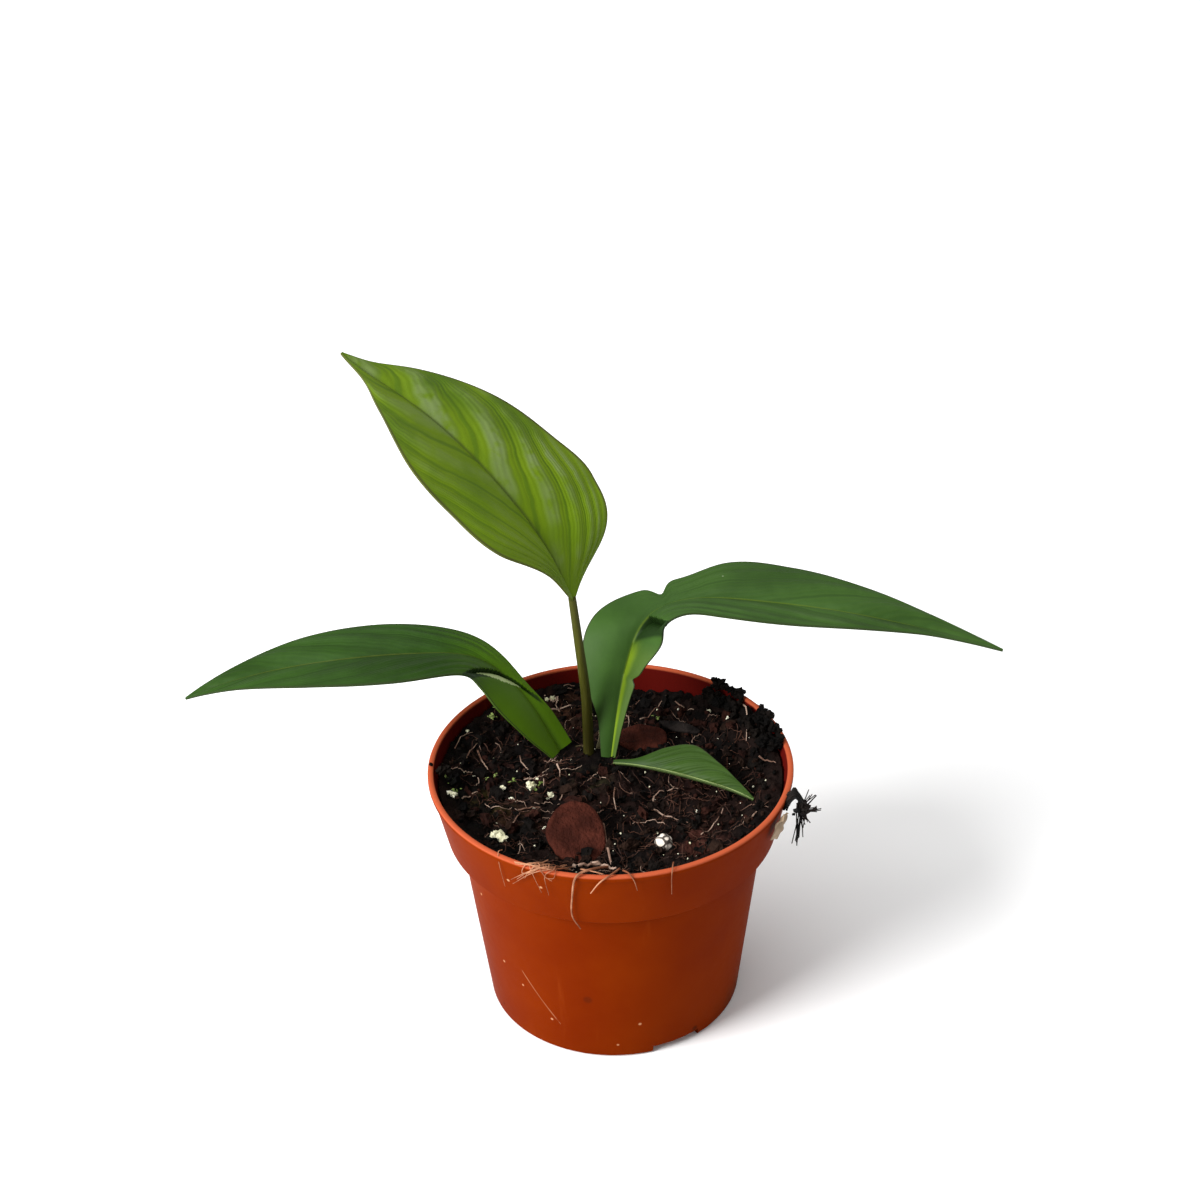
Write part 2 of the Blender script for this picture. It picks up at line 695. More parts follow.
def make_pot():
    rings = pot_rings()
    pick_nothing()
    bpy.ops.mesh.primitive_circle_add(
        vertices=POT_SIDES, radius=rings[0][0] * MM, fill_type="NGON")
    pot = added("nursery_pot")
    bpy.ops.object.mode_set(mode="EDIT")
    bpy.ops.mesh.select_all(action="SELECT")
    for (radius, height), (next_radius, next_height) in zip(rings, rings[1:]):
        rise = {"value": (0, 0, (next_height - height) * MM)}
        bpy.ops.mesh.extrude_region_move(TRANSFORM_OT_translate=rise)
        grow = next_radius / radius
        bpy.ops.transform.resize(value=(grow, grow, 1), center_override=(0, 0, 0))
    bpy.ops.mesh.select_all(action="SELECT")
    bpy.ops.mesh.normals_make_consistent(inside=False)
    bpy.ops.object.mode_set(mode="OBJECT")
    cutters = pot_cutters()
    with_modifier(pot, "BOOLEAN", object=cutters, operation="DIFFERENCE", solver="EXACT")
    bpy.data.objects.remove(cutters)
    smooth(pot, 28)
    finish_piece(pot, pot_plastic(), "pot", "pot")


# ---------------------------------------------------------------- potting mix

def soil_height(x, y):
    """Top of the mix: a low mound, a bank up to the rim with a dip in it, and a heap."""
    mound = 1.5 * math.exp(-((x + 3) ** 2 + (y - 6) ** 2) / 260)
    dip = 0.8 * math.exp(-((x - 12) ** 2 + (y - 41) ** 2) / 200)
    bank = 3.4 * math.exp(-((math.hypot(x, y) - 43) / 7) ** 2) * (1 - dip)
    heap = 3.4 * math.exp(-((x - 36) ** 2 + (y - 18) ** 2) / 90)
    hollow = -1.8 * math.exp(-((x - 10) ** 2 + (y + 2) ** 2) / 80)
    return SOIL_LEVEL + mound + bank + heap + hollow


def soil_relief(x, y):
    """Clods of a few millimetres with finer crumbs on them."""
    spot = Vector((x, y, 0))
    clods = noise.fractal(spot * 0.16, 0.9, 2.1, 3) * 0.9
    near = noise.voronoi(spot * 0.34)[0]
    lumps = (0.5 - near[0]) * 1.5 + (near[1] - near[0]) * 0.5
    grit = noise.fractal(spot * 1.3 + Vector((7, 3, 1)), 0.8, 2.2, 3) * 0.4
    return clods + lumps + grit - 0.3


def soil_top(x, y):
    calm = math.exp(-((x - CROWN_AT[0]) ** 2 + (y - CROWN_AT[1]) ** 2) / 60)
    return soil_height(x, y) + soil_relief(x, y) * (1 - 0.6 * calm)


def disc_point(x, y):
    """A point of a square spread evenly over a round disc."""
    if x == 0 and y == 0:
        return 0.0, 0.0
    if abs(x) > abs(y):
        return x * math.cos(math.pi / 4 * y / x), x * math.sin(math.pi / 4 * y / x)
    return y * math.sin(math.pi / 4 * x / y), y * math.cos(math.pi / 4 * x / y)


def make_soil():
    pick_nothing()
    bpy.ops.mesh.primitive_grid_add(x_subdivisions=SOIL_GRID, y_subdivisions=SOIL_GRID, size=2)
    soil = added("peat_mix")
    for vertex in soil.data.vertices:
        x, y = disc_point(vertex.co.x, vertex.co.y)
        x, y = x * SOIL_EDGE, y * SOIL_EDGE
        vertex.co = Vector((x, y, soil_top(x, y))) * MM
    bpy.ops.object.mode_set(mode="EDIT")
    bpy.ops.mesh.select_all(action="DESELECT")
    bpy.ops.mesh.select_mode(type="EDGE")
    bpy.ops.mesh.select_non_manifold()
    shoulder = POT_HEIGHT - COLLAR_DEPTH
    radius = SOIL_EDGE
    for next_radius, height in (
        (COLLAR_FOOT_RADIUS - WALL - 0.4, shoulder + 0.8),
        (WALL_TOP_RADIUS - WALL - 0.5, shoulder - STEP_HEIGHT),
        (FOOT_RADIUS - WALL - 0.2, FOOT_LIFT + FLOOR_THICK + 0.4),
    ):
        bpy.ops.mesh.extrude_region_move()
        shrink = next_radius / radius
        bpy.ops.transform.resize(value=(shrink, shrink, 0), center_override=(0, 0, height * MM))
        radius = next_radius
    bpy.ops.mesh.edge_face_add()
    bpy.ops.mesh.select_all(action="SELECT")
    bpy.ops.mesh.normals_make_consistent(inside=False)
    bpy.ops.object.mode_set(mode="OBJECT")
    smooth(soil, 60)
    finish_piece(soil, peat(), "mix", "potting_mix")


def scattered_spot(dice, reach=40.5):
    turn = dice.uniform(0, 2 * math.pi)
    radius = reach * math.sqrt(dice.uniform(0, 1))
    return radius * math.cos(turn), radius * math.sin(turn)


def near_crown(x, y, clear=8):
    return math.hypot((x - CROWN_AT[0]) / 1.5, y - CROWN_AT[1]) < clear


def make_crumbs():
    """Loose crumbs of peat and bark over the mix and the ones pushed up on the rim."""
    dice = random.Random(11)
    small, large = lump_template("small_crumb", 1), lump_template("large_crumb", 2)
    black, brown, red = [], [], []
    for _ in range(1500):
        x, y = scattered_spot(dice)
        size = dice.uniform(0.25, 0.9)
        half = (size, size * dice.uniform(0.5, 1), size * dice.uniform(0.4, 0.8))
        pile = dice.choice((black, black, brown, red))
        pile.append(lump_parts(small, (x, y, soil_top(x, y) + 0.25 * size), half, dice, 0.5))
    for _ in range(230):
        x, y = scattered_spot(dice, 39)
        if near_crown(x, y):
            continue
        size = dice.uniform(0.9, 2.1)
        half = (size, size * dice.uniform(0.5, 1), size * dice.uniform(0.4, 0.7))
        pile = dice.choice((black, black, brown, red))
        pile.append(lump_parts(large, (x, y, soil_top(x, y) + 0.2 * size), half, dice, 0.5))
    for low, high, count in RIM_HEAPS:
        for _ in range(count):
            bearing = math.radians(dice.uniform(low, high))
            radius = dice.uniform(38, 44.7)
            size = dice.uniform(0.5, 1.5)
            x, y = radius * math.cos(bearing), radius * math.sin(bearing)
            foot = POT_HEIGHT if radius > 42.2 else max(soil_top(x, y), POT_HEIGHT - 1.5)
            half = (size, size * dice.uniform(0.6, 1), size * dice.uniform(0.5, 0.9))
            spot = (x, y, foot + dice.uniform(0.2, 0.9) * size)
            black.append(lump_parts(large, spot, half, dice, 0.5))
    black_paint = crumb_paint("wet_peat_crumb", (0.001, 0.0008, 0.0007), (0.006, 0.004, 0.003))
    brown_paint = crumb_paint("dry_peat_crumb", (0.0045, 0.0023, 0.0016), (0.019, 0.0092, 0.0058))
    red_paint = crumb_paint("bark_crumb", (0.005, 0.0016, 0.0012), (0.026, 0.008, 0.005))
    piles = (("peat_crumbs_dark", black, black_paint), ("peat_crumbs_dry", brown, brown_paint),
             ("bark_crumbs", red, red_paint))
    for name, pile, paint in piles:
        finish_piece(merged_piece(name, pile), paint, "mix")


# Stretches of the rim, in degrees, that peat has been pushed up on, with how many lumps.
RIM_HEAPS = ((35, 52, 60), (9, 29, 75), (178, 181, 3))

# Fibres that stand out, as plan paths over the mix.
THICK_ROOTS = (
    ((-2.2, -17.9), (-1.3, -26.1), (0, -34.2)),
    ((-9.5, -33.1), (-6, -33.6), (-3.1, -33.3)),
    ((-5.2, -32.1), (-2, -33.6), (0.7, -34.6)),
)
PALE_ROOTS = (
    ((1, -2.3), (0.6, -6), (1.1, -10)),
    ((29.1, 28.6), (34.8, 29.2), (39.7, 24.5)),
    ((34, 28.8), (34.9, 20), (34.3, 12.5)),
    ((8, 27.2), (12, 31.6), (15, 36.5)),
    ((4.7, 19.8), (7.3, 22.8), (9.2, 25.4)),
    ((6.5, 20.6), (7.6, 18.2), (8.2, 16.1)),
    ((16.7, 33.7), (19.6, 30.8), (21.9, 29.3)),
    ((10.3, -5.5), (10.8, -3.1), (12.6, -1.9), (16.6, -1.6)),
    ((10.4, -10.4), (13.2, -13.7), (18.4, -16.3)),
    ((21.3, -21.2), (24.6, -17.8), (27.1, -12.3)),
    ((37, 5.7), (39, 4.6), (41, 2.7)),
    ((33.2, -18.9), (35.4, -15), (38, -12.8)),
    ((-14.4, 34.4), (-12.6, 37.1), (-9.5, 37.9)),
    ((-13.7, 33.9), (-12.1, 38.4), (-8.4, 39.2)),
    ((-15.2, 31.3), (-11.1, 33), (-7.4, 33.8)),
    ((-16.6, 36.5), (-14.7, 34.8), (-12.6, 31.2)),
    ((-38.9, 12.3), (-37.6, 16.8), (-34.7, 19.9)),
    ((-36.3, 9.5), (-35.2, 13.3), (-33.5, 16.3)),
    ((-33.3, 13.9), (-31.6, 8.7), (-30.6, 6.5)),
    ((-12.6, -6.6), (-11.6, -4), (-10.1, -1.8)),
    ((-22.8, -9.5), (-20, -8.8), (-17.4, -8.9)),
    ((-24.2, -15.5), (-23, -13), (-22.3, -11.1)),
    ((-19.3, 6.1), (-21.9, 8.7), (-22.7, 12.2)),
    ((-13.3, 6.7), (-12.6, 4), (-12.6, 1.6)),
    ((-36.6, -5.7), (-34.6, -4), (-32.8, -3)),
    ((-4.1, -15), (-3.2, -13.2), (-1.9, -11.9)),
)


def lying_path(plan, dice, lift=0.45):
    """A fibre's plan path laid over the crumbs."""
    path = smooth_path([(x, y, 0) for x, y in plan], 4)
    return [Vector((p.x, p.y, soil_top(p.x, p.y) + lift + dice.uniform(-0.1, 0.25)))
            for p in path]


def make_fibres():
    dice = random.Random(23)
    pale, brown = [], []
    for plan in THICK_ROOTS:
        pale.append(rod_parts(lying_path(plan, dice, 0.9), 0.42, 0.22, 7))
    for plan in PALE_ROOTS:
        path = lying_path(plan, dice)
        pale.append(rod_parts(path, dice.uniform(0.16, 0.28), 0.1, 5))
    for k in range(520):
        x, y = scattered_spot(dice, 38.5)
        if near_crown(x, y, 5):
            continue
        heading = dice.uniform(0, 2 * math.pi)
        bend = dice.uniform(-0.6, 0.6)
        step = dice.uniform(0.8, 2.2)
        plan = [(x, y)]
        for _ in range(4):
            heading += bend * dice.uniform(0.4, 1.3)
            x, y = x + step * math.cos(heading), y + step * math.sin(heading)
            plan.append((x, y))
        if max(math.hypot(*spot) for spot in plan) > 41:
            continue
        path = lying_path(plan, dice, dice.uniform(0.1, 0.7))
        pile = pale if k % 9 == 0 else brown
        pile.append(rod_parts(path, dice.uniform(0.07, 0.15), 0.05, 4))
    pale_paint = fibre_paint("pale_root", (0.12, 0.06, 0.04), (0.36, 0.25, 0.19))
    brown_paint = fibre_paint("coir_fibre", (0.014, 0.005, 0.003), (0.062, 0.026, 0.016))
    finish_piece(merged_piece("pale_roots_on_mix", pale), pale_paint, "root")
    finish_piece(merged_piece("coir_fibres_on_mix", brown), brown_paint, "root")


# Grains in plan with their half-size.
CREAM_GRAINS = (
    (-14.8, -4.9, 0.8), (25.7, 27.8, 0.6), (26.8, 23.7, 0.4), (30.3, 22.7, 0.6),
    (20.4, 22.7, 0.4), (-16.2, -17.7, 0.55), (-18.9, -8.8, 0.4), (-18.3, 2.3, 0.5),
    (-36, 20, 0.4), (-14.5, 36, 0.9), (-2.6, 4.4, 0.45), (-24.6, -4.9, 0.6), (-16, 35.3, 0.6),
    (-19.7, -0.6, 1.1), (12.8, 30.5, 0.6), (-15.6, -5.6, 0.5), (2, -20, 0.3), (20, -29, 0.35),
)
MOSS_TUFTS = (
    (-39.3, -0.6, 1.3), (-30.7, 3.6, 0.8), (-28.8, 5.2, 0.9), (-24, 1.7, 1.1), (-30.1, 25.6, 1.3),
    (-29, 30, 1.2), (12.7, 28.7, 1.3), (-18.5, -1.5, 0.7), (-17.5, 0.6, 0.7), (-38.6, -3.5, 0.9),
)


def make_grains():
    dice = random.Random(5)
    ball = lump_template("grain", 3)
    tiny = lump_template("leaflet", 1)
    cream = []
    for x, y, size in CREAM_GRAINS:
        half = (size, size * 0.9, size * 0.75)
        cream.append(lump_parts(ball, (x, y, soil_top(x, y) + 0.4 * size), half, dice, 0.35))
    for _ in range(90):
        x, y = scattered_spot(dice, 39)
        size = dice.uniform(0.12, 0.3)
        spot = (x, y, soil_top(x, y) + 0.3)
        cream.append(lump_parts(tiny, spot, (size, size, size), dice, 0.3))
    named_grains = (("perlite_grain_1", (-38.8, -6.8, 1.35)), ("perlite_grain_2", (-27, -22.8, 2)),
                    ("perlite_grain_3", (-27, -1.5, 1)))
    paint = crumb_paint("perlite", (0.5, 0.48, 0.3), (0.82, 0.8, 0.66))
    for name, (x, y, size) in named_grains:
        parts = []
        for k in range(4):
            turn = dice.uniform(0, 6.3)
            away = size * (0.45 if k else 0)
            spot = (x + away * math.cos(turn), y + away * math.sin(turn),
                    soil_top(x, y) + size * 0.45)
            half = [size * dice.uniform(0.45, 0.75) for _ in range(3)]
            parts.append(lump_parts(ball, spot, half, dice, 0.35))
        grain = merged_piece(name + "_lump", parts)
        smooth(grain, 50)
        finish_piece(grain, paint, "mineral", name)
    finish_piece(merged_piece("perlite_crumbs", cream), paint, "mineral")
    moss = []
    for x, y, size in MOSS_TUFTS:
        for _ in range(16):
            away = abs(dice.gauss(0, 0.6)) * size
            turn = dice.uniform(0, 6.3)
            spot = (x + away * math.cos(turn), y + away * math.sin(turn),
                    soil_top(x, y) + dice.uniform(0.1, 0.9) * size)
            half = (size * 0.34, size * 0.26, size * 0.1)
            moss.append(lump_parts(tiny, spot, half, dice, 0.2))
    moss_paint = crumb_paint("moss_green", (0.1, 0.15, 0.03), (0.3, 0.38, 0.12))
    finish_piece(merged_piece("moss_tufts", moss), moss_paint, "leaf")


# Roots hanging over the rim, outside the pot: bearing, height and distance off the wall.
LONG_HANGING = (
    (((-92, 64, -7), (-96, 67.2, -3), (-99.6, 67.8, -0.6), (-101.4, 66.4, 0.5),
      (-102.8, 60, 0.6), (-103.4, 53.4, 0.9), (-101.2, 48.4, 3.6)), 0.36),
    (((-88, 66.9, -3.4), (-90, 67.8, -0.8), (-94, 66, 0.4), (-97, 61.8, 0.7)), 0.28),
    (((-87, 67, -2.6), (-85.4, 67.6, -0.6), (-84, 66, 0.4), (-83, 62.6, 0.9)), 0.24),
    (((-70.5, 66.8, -3), (-72, 67.7, -0.6), (-72.8, 65.4, 0.4), (-72, 59, 0.6)), 0.22),
    (((-127.6, 67, -2.6), (-127, 67.8, -0.6), (-126.6, 64.6, 0.4), (-126, 57.4, 0.8)), 0.14),
    (((-101, 64.6, -5), (-98, 67.5, -2), (-93, 67.5, -0.8)), 0.22),
)
TUFT_TIPS = ((-119, 63.4), (-120.4, 61), (-122.4, 56.6), (-113, 60.2), (-117, 65.6), (-108, 64.6))
SHAG_TIPS = ((50, -14, 62), (48.6, -13, 65.4), (47.2, -18, 61), (44.8, -22.6, 60),
             (43.8, -23.4, 58.6), (49.4, -16, 63.4), (45.8, -20, 60.6), (47.4, -13.4, 62))


def make_rim_roots():
    """Roots and matted fibre that hang over the front of the rim and the shag at its right."""
    dice = random.Random(41)
    hanging = []
    for stops, radius in LONG_HANGING:
        path = smooth_path([wall_point(*stop) for stop in stops], 6)
        hanging.append(rod_parts(path, radius, radius * 0.4, 6))
    matted = []
    for k in range(24):
        start = dice.uniform(-115, -104)
        across = start + dice.uniform(-5, 2)
        stops = [(start + dice.uniform(-2, 2), 63.6, dice.uniform(-8, -3.5)),
                 (start - 1, dice.uniform(66, 67.6), -2.4), (across, 67.7, -0.5)]
        if k % 2:
            bearing, height = dice.choice(TUFT_TIPS)
            stops.append(((across + bearing) / 2, 66, 0.5))
            stops.append((bearing + dice.gauss(0, 1), height + dice.gauss(0, 1), 0.8))
        else:
            stops.append((across - dice.uniform(3, 8), 67.2 + dice.uniform(-0.6, 0.5), -0.1))
        path = smooth_path([wall_point(*stop) for stop in stops], 5)
        matted.append(rod_parts(path, dice.uniform(0.1, 0.22), 0.06, 5))
    shag = []
    ball = lump_template("shag_lump", 2)
    for k in range(44):
        tip = Vector(SHAG_TIPS[k % len(SHAG_TIPS)]) + Vector([dice.gauss(0, 0.5) for _ in range(3)])
        root = Vector((41.5 + dice.gauss(0, 0.5), -14.6 + dice.gauss(0, 1.4), 64.6))
        rim = Vector((44, -15.6 + dice.gauss(0, 1), 67.7 + dice.uniform(0, 0.6)))
        knot = Vector((45.6, -17.2, 64)) + Vector([dice.gauss(0, 0.6) for _ in range(3)])
        path = smooth_path([root, rim, (rim + knot) / 2 + Vector((0.8, 0, 0)), knot, tip], 5)
        shag.append(rod_parts(path, dice.uniform(0.15, 0.36), 0.12, 5))
    for _ in range(22):
        spot = Vector((45.7, -17.2, 64)) + Vector([dice.gauss(0, 1) for _ in range(3)])
        size = dice.uniform(0.4, 0.9)
        shag.append(lump_parts(ball, spot, (size, size * 0.7, size * 0.7), dice, 0.5))
    tan = fibre_paint("tan_root", (0.16, 0.05, 0.022), (0.42, 0.2, 0.11))
    dark = fibre_paint("black_shag", (0.001, 0.001, 0.001), (0.012, 0.008, 0.006))
    for name, node, pile, paint in (
        ("roots_over_rim", "root_strand_long", hanging, tan),
        ("matted_root_over_rim", "root_strand_tuft", matted, tan),
        ("black_fibre_shag", "fibre_strand_right", shag, dark),
    ):
        piece = merged_piece(name, pile)
        smooth(piece, 70)
        finish_piece(piece, paint, "root", node)


def make_paper_flake():
    """A papery scrap that lies against the outside of the collar."""
    pick_nothing()
    bpy.ops.mesh.primitive_grid_add(x_subdivisions=18, y_subdivisions=18, size=2)
    flake = added("papery_flake")
    for vertex in flake.data.vertices:
        x, y = disc_point(vertex.co.x, vertex.co.y)
        edge = 1 + 0.35 * noise.noise(Vector((x, y, 5)) * 2.2)
        curl = 1.6 + 0.9 * noise.noise(Vector((x, y, 1)) * 1.5)
        vertex.co = Vector(wall_point(-27.5 + 4 * x * edge, 62.4 + 3.6 * y * edge, curl)) * MM
    with_modifier(flake, "SOLIDIFY", thickness=0.25 * MM, offset=0)
    smooth(flake, 60)
    paint = fibre_paint("papery_bark", (0.28, 0.2, 0.13), (0.62, 0.52, 0.4))
    finish_piece(flake, paint, "root", "coir_flake")


def make_chip(name, centre, half, tilt, turn, seed, paint, *cad_nodes):
    """A flake of bark: a many-sided disc, bevelled and roughened."""
    pick_nothing()
    bpy.ops.mesh.primitive_cylinder_add(vertices=44, radius=1, depth=2, end_fill_type="NGON")
    chip = added(name)
    bpy.ops.object.mode_set(mode="EDIT")
    bpy.ops.mesh.select_mode(type="FACE")
    bpy.ops.mesh.select_all(action="DESELECT")
    bpy.ops.object.mode_set(mode="OBJECT")
    for face in chip.data.polygons:
        face.select = abs(face.normal.z) > 0.9
    bpy.ops.object.mode_set(mode="EDIT")
    for step in (0.12, 0.2, 0.2, 0.2):
        bpy.ops.mesh.inset(thickness=step, use_individual=True)
    bpy.ops.object.mode_set(mode="OBJECT")
    shift = Vector((seed, seed * 2, 3))
    place = Matrix.Translation(Vector(centre)) @ Matrix.Rotation(math.radians(turn), 4, "Z")
    place = place @ Matrix.Rotation(math.radians(tilt), 4, "X")
    for vertex in chip.data.vertices:
        point = vertex.co.copy()
        bearing = math.atan2(point.y, point.x)
        ragged = 1 + 0.1 * noise.noise(Vector((math.cos(bearing), math.sin(bearing), seed)) * 1.6)
        ragged += 0.05 * noise.noise(Vector((math.cos(bearing), math.sin(bearing), seed)) * 5)
        edge = max(0.0, math.hypot(point.x, point.y) - 0.85) * 3
        shaped = Vector((point.x * half[0] * ragged, point.y * half[1] * ragged,
                         point.z * half[2] * (1 - edge)))
        shaped.z += 0.35 * noise.fractal(shaped * 0.35 + shift, 0.9, 2, 3)
        vertex.co = (place @ shaped) * MM
    with_modifier(chip, "SUBSURF", levels=1, render_levels=1)
    smooth(chip, 60)
    finish_piece(chip, paint, "bark", *cad_nodes)


def make_pellet():
    dice = random.Random(3)
    ball = lump_template("pellet", 4)
    x, y = 12.2, -24.3
    parts = [lump_parts(ball, (x, y, soil_top(x, y) + 1.4), (2.2, 2.2, 2), dice, 0.08)]
    pellet = merged_piece("cracked_pellet", parts)
    smooth(pellet, 60)
    finish_piece(pellet, pellet_paint(), "mineral", "clay_pellet")


# ---------------------------------------------------------------- plant

def blade_stations(leaf, count):
    """Rib point, sideways and upward directions, half-widths and cup along a blade."""
    rows = leaf["rows"]

    def heading(share):
        bearing = math.radians(read_rows(rows, 1, share))
        climb = math.radians(read_rows(rows, 2, share))
        return Vector((math.cos(climb) * math.cos(bearing), math.cos(climb) * math.sin(bearing),
                       math.sin(climb)))

    point = Vector(leaf["base"])
    stations = []
    for i in range(count + 1):
        share = i / count
        if i:
            point = point + heading(share - 0.5 / count) * (leaf["length"] / count)
        ahead = heading(share)
        side = Vector((ahead.y, -ahead.x, 0)).normalized()
        side.rotate(Matrix.Rotation(-math.radians(leaf["roll"]), 3, ahead))
        stations.append({
            "rib": point, "side": side, "up": side.cross(ahead), "ahead": ahead,
            "left": max(read_rows(rows, 3, share), 0.2) * nicked(leaf, -1, share),
            "right": max(read_rows(rows, 4, share), 0.2) * nicked(leaf, 1, share),
            "cup": math.radians(read_rows(rows, 5, share)),
        })
    return stations


def nicked(leaf, side, share):
    """How much of its width a blade keeps on one side, where its margin is nicked."""
    kept = 1
    for nick_side, at, half, depth in leaf.get("nicks", ()):
        if nick_side == side:
            kept -= depth * math.exp(-((share - at) / half) ** 2)
    return kept


def ease(low, high, value):
    """0 below low, 1 above high, smooth in between."""
    f = min(max((value - low) / (high - low), 0), 1)
    return f * f * (3 - 2 * f)


def fold_depth(leaf, share, across):
    """How deep a point lies in the pocket below the fold's lip, from 0 to 1."""
    fold = leaf.get("fold")
    if fold is None:
        return 0
    lip = fold["lip"] + fold["slant"] * across
    length = fold["length"] + fold["spread"] * across
    into = (share - lip) / length + 1
    if into <= 0 or into >= 1:
        return 0
    a, b, c, d = fold["span"]
    return into ** 1.4 * ease(a, b, across) * (1 - ease(c, d, across))


def fold_shift(leaf, station, share, across):
    """How the fold moves a point of the blade."""
    fold = leaf.get("fold")
    if fold is None:
        return Vector((0, 0, 0))
    depth = fold["depth"] * fold_depth(leaf, share, across) * (1 - ease(0.6, 0.98, abs(across)))
    shift = station["up"] * -depth
    beyond = share - fold["lip"] - fold["slant"] * across
    if 0 <= beyond < 0.1:
        a, b, c, d = fold["span"]
        hang = (1 - beyond / 0.1) ** 3 * ease(a, b, across) * (1 - ease(c, d, across))
        hang *= 1 - ease(0.6, 0.95, abs(across))
        shift = shift + (station["up"] * 0.4 - station["ahead"]) * fold["overhang"] * hang
    return shift


def blade_point(leaf, station, share, across):
    """A point of the blade with its vein relief, share along and -1 to 1 across."""
    width = station["left"] if across < 0 else station["right"]
    far = abs(across)
    reach = width * far
    sweep = VEIN_SWEEP * far ** 0.9
    rank = (share - sweep) / (1 - sweep)
    body = min(width / 6, 1)
    veined = ease(leaf["calm"] * 0.7, leaf["calm"] + 0.1, share)
    inner = min(far * 5, 1) * (1 - far ** 4) * veined
    ridge = 0.14 * math.sin(rank * 2 * math.pi * VEINS + across * 0.8) * body * inner
    channel = -0.4 * math.exp(-(reach / 0.9) ** 2) * body
    bulge = 0.05 * width * math.sin(math.pi * far)
    lift = reach * math.sin(station["cup"]) + ridge + channel + bulge
    sideways = math.copysign(reach * math.cos(station["cup"]), across)
    point = station["rib"] + station["side"] * sideways + station["up"] * lift
    return point + fold_shift(leaf, station, share, across)


def fold_pale(leaf, share, across):
    """1 on the pale sliver of underside that shows below the fold's lip."""
    fold = leaf.get("fold")
    if fold is None or fold["pale"] is None:
        return 0
    low, high, half = fold["pale"]
    middle = (low + high) / 2
    reach = (across - middle) / (high - middle)
    if abs(reach) >= 1:
        return 0
    below = fold["lip"] + fold["slant"] * across - share
    return 1 if half * 0.3 < below < half * (1.5 - reach * reach) else 0


def make_leaf(name, node, leaf, paint):
    pick_nothing()
    bpy.ops.mesh.primitive_grid_add(
        x_subdivisions=BLADE_ACROSS, y_subdivisions=BLADE_ALONG, size=2)
    blade = added(name)
    stations = blade_stations(leaf, BLADE_ALONG)
    # A new layer may move the ones before it, so both are made before either is held.
    for layer in ("fold_shade", "fold_pale"):
        blade.data.attributes.new(layer, "FLOAT", "POINT")
    shade = blade.data.attributes["fold_shade"]
    pale = blade.data.attributes["fold_pale"]
    for vertex in blade.data.vertices:
        share = (vertex.co.y + 1) / 2
        across = vertex.co.x
        station = stations[round(share * BLADE_ALONG)]
        shade.data[vertex.index].value = fold_depth(leaf, share, across)
        pale.data[vertex.index].value = fold_pale(leaf, share, across)
        vertex.co = blade_point(leaf, station, share, across) * MM
    with_modifier(blade, "SOLIDIFY", thickness=BLADE_THICK * MM, offset=0)
    smooth(blade, 60)
    finish_piece(blade, paint, "leaf", node)


def make_rod_piece(name, path, foot_radius, head_radius, sides, paint, slot, *nodes):
    parts = [rod_parts(smooth_path(path, 8), foot_radius, head_radius, sides)]
    rod = merged_piece(name, parts)
    smooth(rod, 60)
    finish_piece(rod, paint, slot, *nodes)


# ---------------------------------------------------------------- floor, light, camera

def make_floor():
    pick_nothing()
    bpy.ops.mesh.primitive_plane_add(size=6, location=(0, 0, -0.0002))
    floor = added("floor")
    settle_place(floor)
    floor.data.materials.append(floor_paint())


def make_light():
    world = bpy.context.scene.world or bpy.data.worlds.new("studio")
    bpy.context.scene.world = world
    world.use_nodes = True
    background = world.node_tree.nodes["Background"]
    background.inputs["Color"].default_value = (1, 1, 1, 1)
    background.inputs["Strength"].default_value = 0.55
    for name, place, size, power in (("key", (-1.05, -0.6, 0.8), 0.8, 37),
                                     ("sky", (-0.2, 0.3, 1.5), 1.2, 9)):
        light = bpy.data.lights.new(name, "AREA")
        light.shape = "DISK"
        light.size = size
        light.energy = power
        lamp = bpy.data.objects.new(name, light)
        lamp.location = place
        aim = Vector((0, 0, 0.06)) - Vector(place)
        lamp.rotation_euler = aim.to_track_quat("-Z", "Y").to_euler()
        bpy.context.scene.collection.objects.link(lamp)


def make_camera():
    tip = math.radians(CAMERA_ELEVATION)
    ahead = Vector((0, math.cos(tip), -math.sin(tip)))
    right = Vector((1, 0, 0))
    up = right.cross(ahead)
    roll = math.radians(CAMERA_ROLL)
    rolled_right = right * math.cos(roll) + up * math.sin(roll)
    rolled_up = up * math.cos(roll) - right * math.sin(roll)
    stand = (Vector(CAMERA_AIM) - ahead * CAMERA_DISTANCE) * MM
    lens = bpy.data.cameras.new("camera")
    lens.lens = CAMERA_LENS
    lens.sensor_width = 36
    lens.clip_start = 0.01
    camera = bpy.data.objects.new("camera", lens)
    turn = Matrix((rolled_right, rolled_up, -ahead)).transposed()
    camera.matrix_world = Matrix.Translation(stand) @ turn.to_4x4()
    bpy.context.scene.collection.objects.link(camera)
    bpy.context.scene.camera = camera


# ---------------------------------------------------------------- the whole thing

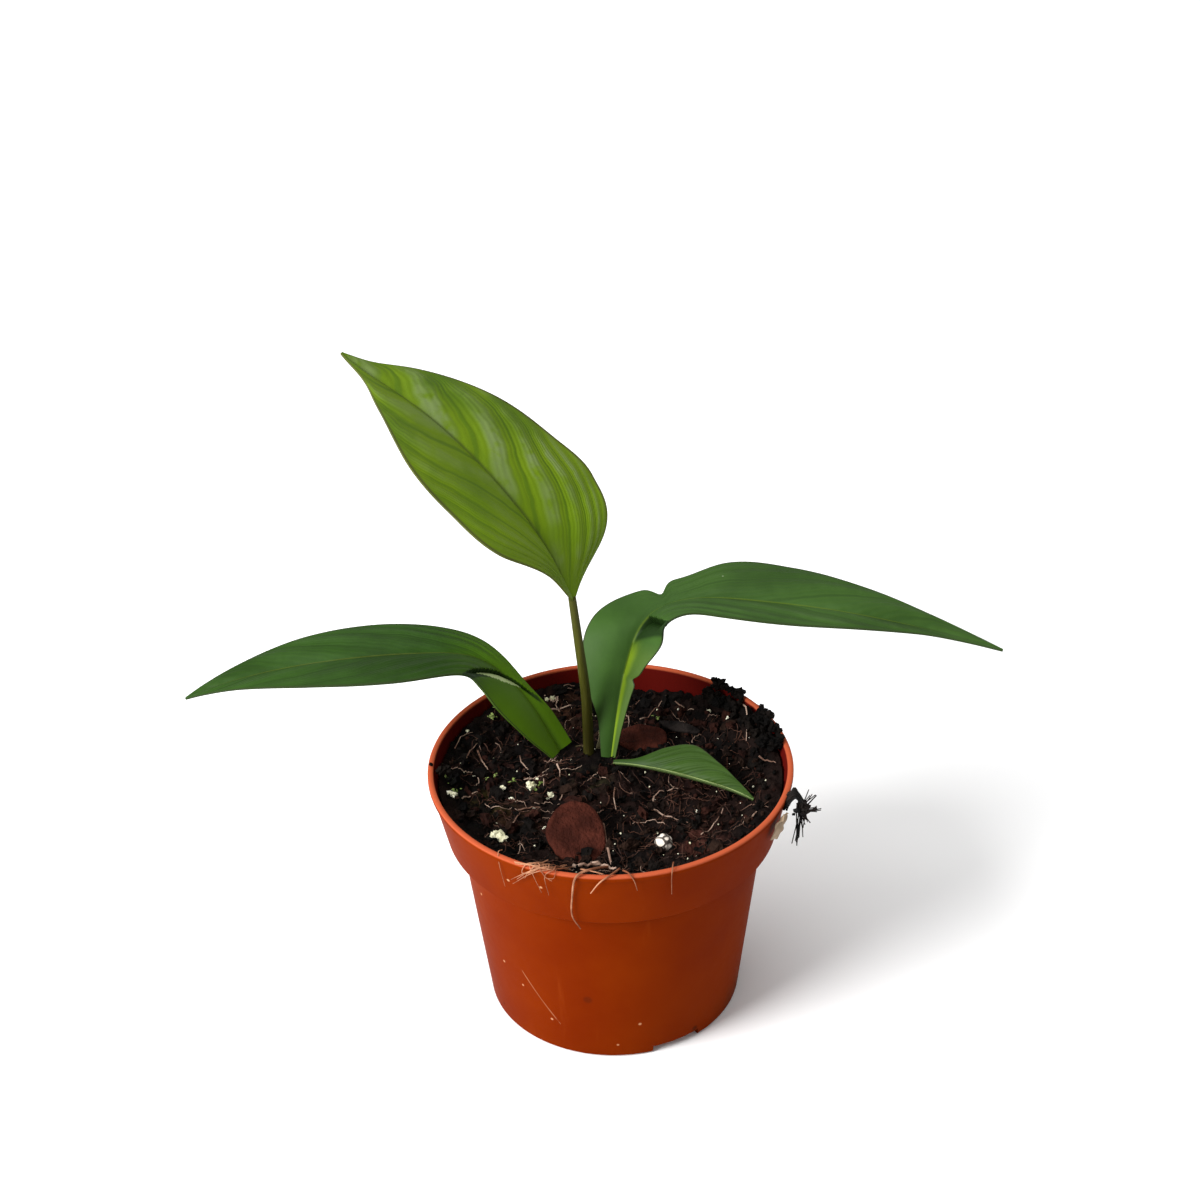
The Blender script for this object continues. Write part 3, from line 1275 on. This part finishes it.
make_camera()
make_light()
make_floor()
make_pot()
make_soil()
make_crumbs()
make_fibres()
make_grains()
BARK = crumb_paint("bark_flake", (0.026, 0.0056, 0.003), (0.06, 0.014, 0.008))
DARK_BARK = crumb_paint("dark_bark", (0.004, 0.003, 0.003), (0.022, 0.017, 0.015))
make_chip("bark_flake_front", (-8.6, -22.5, 62.4), (7.2, 9.4, 0.9), 22, 10, 4, BARK,
          "bark_chip_front")
make_chip("bark_flake_back", (8.2, 18, 61.4), (6.6, 4.6, 0.8), 10, -8, 9, BARK,
          "bark_chip_back")
make_chip("dark_bark_strip", (18, 21.8, 62), (5.6, 1.5, 0.5), 14, -24, 6, DARK_BARK)
make_pellet()
make_rim_roots()
make_paper_flake()

RED_EDGE = (0.045, 0.03, 0.015)
DARK_EDGE = (0.02, 0.03, 0.008)
TALL_PAINT = leaf_paint(
    "tall_leaf_skin", deep=(0.052, 0.108, 0.003), fresh=(0.12, 0.195, 0.004),
    sheen=(0.15, 0.205, 0.075), rib=(0.055, 0.085, 0.012), young=(0.13, 0.215, 0.002),
    edge=RED_EDGE, banding=0.9, yellowing=0.55, strap=0, calm=0)
LEFT_PAINT = leaf_paint(
    "left_leaf_skin", deep=(0.01, 0.031, 0.002), fresh=(0.018, 0.054, 0.004),
    sheen=(0.035, 0.078, 0.018), rib=(0.06, 0.075, 0.008), young=(0.09, 0.19, 0.002),
    edge=DARK_EDGE, banding=0.3, yellowing=0.8, strap=0, calm=0.3, fade=0.42)
RIGHT_PAINT = leaf_paint(
    "right_leaf_skin", deep=(0.02, 0.052, 0.007), fresh=(0.034, 0.083, 0.012),
    sheen=(0.05, 0.1, 0.026), rib=(0.08, 0.125, 0.008), young=(0.12, 0.19, 0.008),
    edge=DARK_EDGE, banding=0.45, yellowing=0.0, strap=0.25, calm=0.36)
SMALL_PAINT = leaf_paint(
    "small_leaf_skin", deep=(0.013, 0.035, 0.003), fresh=(0.024, 0.057, 0.005),
    sheen=(0.034, 0.075, 0.014), rib=(0.13, 0.17, 0.04), young=(0.25, 0.32, 0.12),
    edge=DARK_EDGE, banding=0.2, yellowing=0.0, strap=1.25, calm=0.3)
make_leaf("tall_leaf_blade", "leaf_tall", LEAF_TALL, TALL_PAINT)
make_leaf("left_leaf_blade", "leaf_left", LEAF_LEFT, LEFT_PAINT)
make_leaf("right_leaf_blade", "leaf_right", LEAF_RIGHT, RIGHT_PAINT)
make_leaf("small_leaf_blade", "leaf_small", LEAF_SMALL, SMALL_PAINT)

STEM = stem_paint()
make_rod_piece("tall_stem", [(-5.3, 12.2, 60.6), (-5.6, 12.2, 78), (-7, 12, 94), (-8.3, 12, 107.6)],
               1.4, 0.98, 20, STEM, "stem", "stem_tall")
DRY = fibre_paint("dry_sheath", (0.16, 0.13, 0.06), (0.34, 0.3, 0.18))
make_rod_piece("dry_sheath", [(-2.6, 14.4, 60.6), (-2.2, 14.6, 64), (-2.4, 15, 66.4)],
               1.1, 0.3, 10, DRY, "rootstock", "cataphyll")
ROOTSTOCK = fibre_paint("rootstock_skin", (0.05, 0.035, 0.015), (0.16, 0.12, 0.06))
crown = bpy.data.objects["crown"]
crown.data.materials.clear()
crown.data.materials.append(ROOTSTOCK)

bpy.context.scene.view_settings.view_transform = "Standard"
